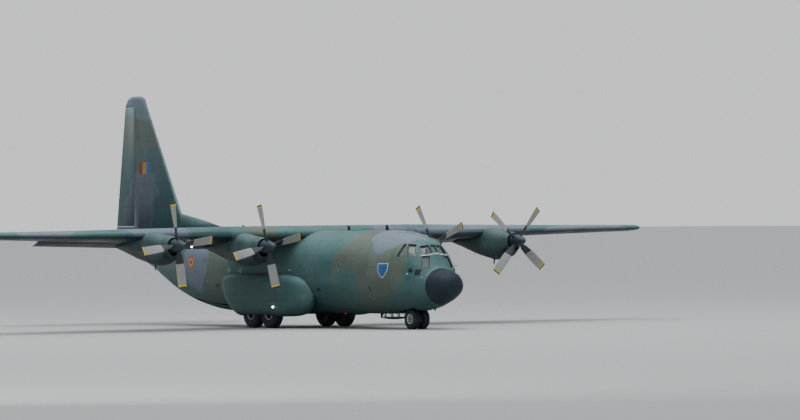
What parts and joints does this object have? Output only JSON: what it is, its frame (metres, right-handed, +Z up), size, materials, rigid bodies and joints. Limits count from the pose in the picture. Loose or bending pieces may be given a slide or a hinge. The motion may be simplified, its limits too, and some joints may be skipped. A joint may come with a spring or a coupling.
{
  "type": "four-engined military transport plane, 1:2 scale model",
  "caption": "High-winged cargo plane on its wheels: hollow fuselage with rear ramp, turning propellers and wheels, steered nose gear and moving control surfaces.",
  "frame": {"origin": "on the ground under the middle of the plane's length and span", "axes": "+Z up, nose towards -Y, left wing towards +X"},
  "size_m": [20.205, 14.895, 5.83],
  "materials": {
    "camouflage": "matte",
    "nose_cone": "matte",
    "window_glass": "gloss",
    "floor_plate": "satin",
    "dark_trim": "matte",
    "seat_cloth": "matte",
    "engine_metal": "satin",
    "blade_paint": "satin",
    "gear_metal": "satin",
    "tyre_rubber": "matte"
  },
  "bodies": {
    "airframe": {"radome": "nose_cone", "nose_section": "camouflage", "flight_deck_glazing": "window_glass", "fuselage_center": "camouflage", "fuselage_aft": "camouflage", "paratroop_door_left": "camouflage", "paratroop_door_right": "camouflage", "cargo_floor": "floor_plate", "flight_deck_floor": "floor_plate", "instrument_panel": "dark_trim", "seat_left": "seat_cloth", "seat_right": "seat_cloth", "wing_center": "camouflage", "wing_outer_left": "camouflage", "wing_outer_right": "camouflage", "fin": "camouflage", "stabilizer_left": "camouflage", "stabilizer_right": "camouflage", "nacelle_1": "camouflage", "nacelle_2": "camouflage", "nacelle_3": "camouflage", "nacelle_4": "camouflage", "engine_1": "engine_metal", "engine_2": "engine_metal", "engine_3": "engine_metal", "engine_4": "engine_metal", "gear_fairing_left": "camouflage", "gear_fairing_right": "camouflage", "main_gear_door_left": "camouflage", "main_gear_door_right": "camouflage", "main_strut_left": "gear_metal", "main_strut_right": "gear_metal", "nose_strut": "gear_metal", "nose_gear_door_aft": "dark_trim"},
    "propeller_1": {"propeller_1": "blade_paint"},
    "propeller_2": {"propeller_2": "blade_paint"},
    "propeller_3": {"propeller_3": "blade_paint"},
    "propeller_4": {"propeller_4": "blade_paint"},
    "main_wheel_front_left": {"main_wheel_front_left": "tyre_rubber"},
    "main_wheel_rear_left": {"main_wheel_rear_left": "tyre_rubber"},
    "main_wheel_front_right": {"main_wheel_front_right": "tyre_rubber"},
    "main_wheel_rear_right": {"main_wheel_rear_right": "tyre_rubber"},
    "nose_steering": {"nose_steering": "gear_metal"},
    "nose_wheels": {"nose_wheels": "tyre_rubber"},
    "crew_door": {"crew_door": "camouflage"},
    "ramp": {"ramp": "camouflage"},
    "cargo_door": {"cargo_door": "camouflage"},
    "rudder": {"rudder": "camouflage"},
    "elevators": {"elevator_left": "camouflage", "elevator_right": "camouflage"},
    "aileron_left": {"aileron_left": "camouflage"},
    "aileron_right": {"aileron_right": "camouflage"},
    "flaps_inboard": {"flap_inboard_left": "camouflage", "flap_inboard_right": "camouflage"},
    "flap_outboard_left": {"flap_outboard_left": "camouflage"},
    "flap_outboard_right": {"flap_outboard_right": "camouflage"}
  },
  "joints": [
    {"name": "propeller_1_spin", "type": "hinge", "parent": "airframe", "child": "propeller_1", "pos_m": [5.08, -3.1825, 2.065], "axis": [0, 1, 0], "continuous": true},
    {"name": "propeller_2_spin", "type": "hinge", "parent": "airframe", "child": "propeller_2", "pos_m": [2.475, -3.1825, 2.01], "axis": [0, 1, 0], "continuous": true},
    {"name": "propeller_3_spin", "type": "hinge", "parent": "airframe", "child": "propeller_3", "pos_m": [-2.475, -3.1825, 2.01], "axis": [0, 1, 0], "continuous": true},
    {"name": "propeller_4_spin", "type": "hinge", "parent": "airframe", "child": "propeller_4", "pos_m": [-5.08, -3.1825, 2.065], "axis": [0, 1, 0], "continuous": true},
    {"name": "wheel_front_left_spin", "type": "hinge", "parent": "airframe", "child": "main_wheel_front_left", "pos_m": [1.0875, -1.3535, 0.355], "axis": [1, 0, 0], "continuous": true},
    {"name": "wheel_rear_left_spin", "type": "hinge", "parent": "airframe", "child": "main_wheel_rear_left", "pos_m": [1.0875, -0.5915, 0.355], "axis": [1, 0, 0], "continuous": true},
    {"name": "wheel_front_right_spin", "type": "hinge", "parent": "airframe", "child": "main_wheel_front_right", "pos_m": [-1.0875, -1.3535, 0.355], "axis": [1, 0, 0], "continuous": true},
    {"name": "wheel_rear_right_spin", "type": "hinge", "parent": "airframe", "child": "main_wheel_rear_right", "pos_m": [-1.0875, -0.5915, 0.355], "axis": [1, 0, 0], "continuous": true},
    {"name": "nose_steer", "type": "hinge", "parent": "airframe", "child": "nose_steering", "pos_m": [0, -5.8575, 0.5], "axis": [0, 0, 1], "range_deg": [-60, 60]},
    {"name": "nose_wheels_spin", "type": "hinge", "parent": "nose_steering", "child": "nose_wheels", "pos_m": [0, -5.8575, 0.2475], "axis": [1, 0, 0], "continuous": true},
    {"name": "crew_door_hinge", "type": "hinge", "parent": "airframe", "child": "crew_door", "pos_m": [0.65, -5.5225, 0.535], "axis": [0, 1, 0], "range_deg": [0, 98]},
    {"name": "ramp_hinge", "type": "hinge", "parent": "airframe", "child": "ramp", "pos_m": [0, 1.0175, 0.3825], "axis": [-1, 0, 0], "range_deg": [0, 17]},
    {"name": "cargo_door_hinge", "type": "hinge", "parent": "airframe", "child": "cargo_door", "pos_m": [0, 4.6775, 1.45], "axis": [-1, 0, 0], "range_deg": [0, 32]},
    {"name": "rudder_hinge", "type": "hinge", "parent": "airframe", "child": "rudder", "pos_m": [0, 6.2375, 4], "axis": [0, 0, 1], "range_deg": [-35, 35]},
    {"name": "elevator_hinge", "type": "hinge", "parent": "airframe", "child": "elevators", "pos_m": [0, 6.4471, 2.26], "axis": [1, 0, 0], "range_deg": [-20, 40]},
    {"name": "aileron_left_hinge", "type": "hinge", "parent": "airframe", "child": "aileron_left", "pos_m": [7.25, -0.69663, 2.26789], "axis": [0.9964, -0.0834, 0.0133], "range_deg": [-15, 25]},
    {"name": "aileron_right_hinge", "type": "hinge", "parent": "airframe", "child": "aileron_right", "pos_m": [-7.25, -0.69663, 2.26789], "axis": [0.9964, 0.0834, -0.0133], "range_deg": [-15, 25]},
    {"name": "flaps_inboard_track", "type": "hinge", "parent": "airframe", "child": "flaps_inboard", "pos_m": [0, -0.26659, 1.43079], "axis": [-1, 0, 0], "range_deg": [-18, 18]},
    {"name": "flap_outboard_left_track", "type": "hinge", "parent": "airframe", "child": "flap_outboard_left", "pos_m": [2.825, -0.2693, 1.43126], "axis": [-0.9958, 0.0898, -0.0156], "range_deg": [-18, 18]},
    {"name": "flap_outboard_right_track", "type": "hinge", "parent": "airframe", "child": "flap_outboard_right", "pos_m": [-2.825, -0.2693, 1.43126], "axis": [-0.9958, -0.0898, 0.0156], "range_deg": [-18, 18]}
  ],
  "couplings": [
    {"joint": "flap_outboard_left_track", "follows": "flaps_inboard_track", "ratio": 1},
    {"joint": "flap_outboard_right_track", "follows": "flaps_inboard_track", "ratio": 1}
  ]
}
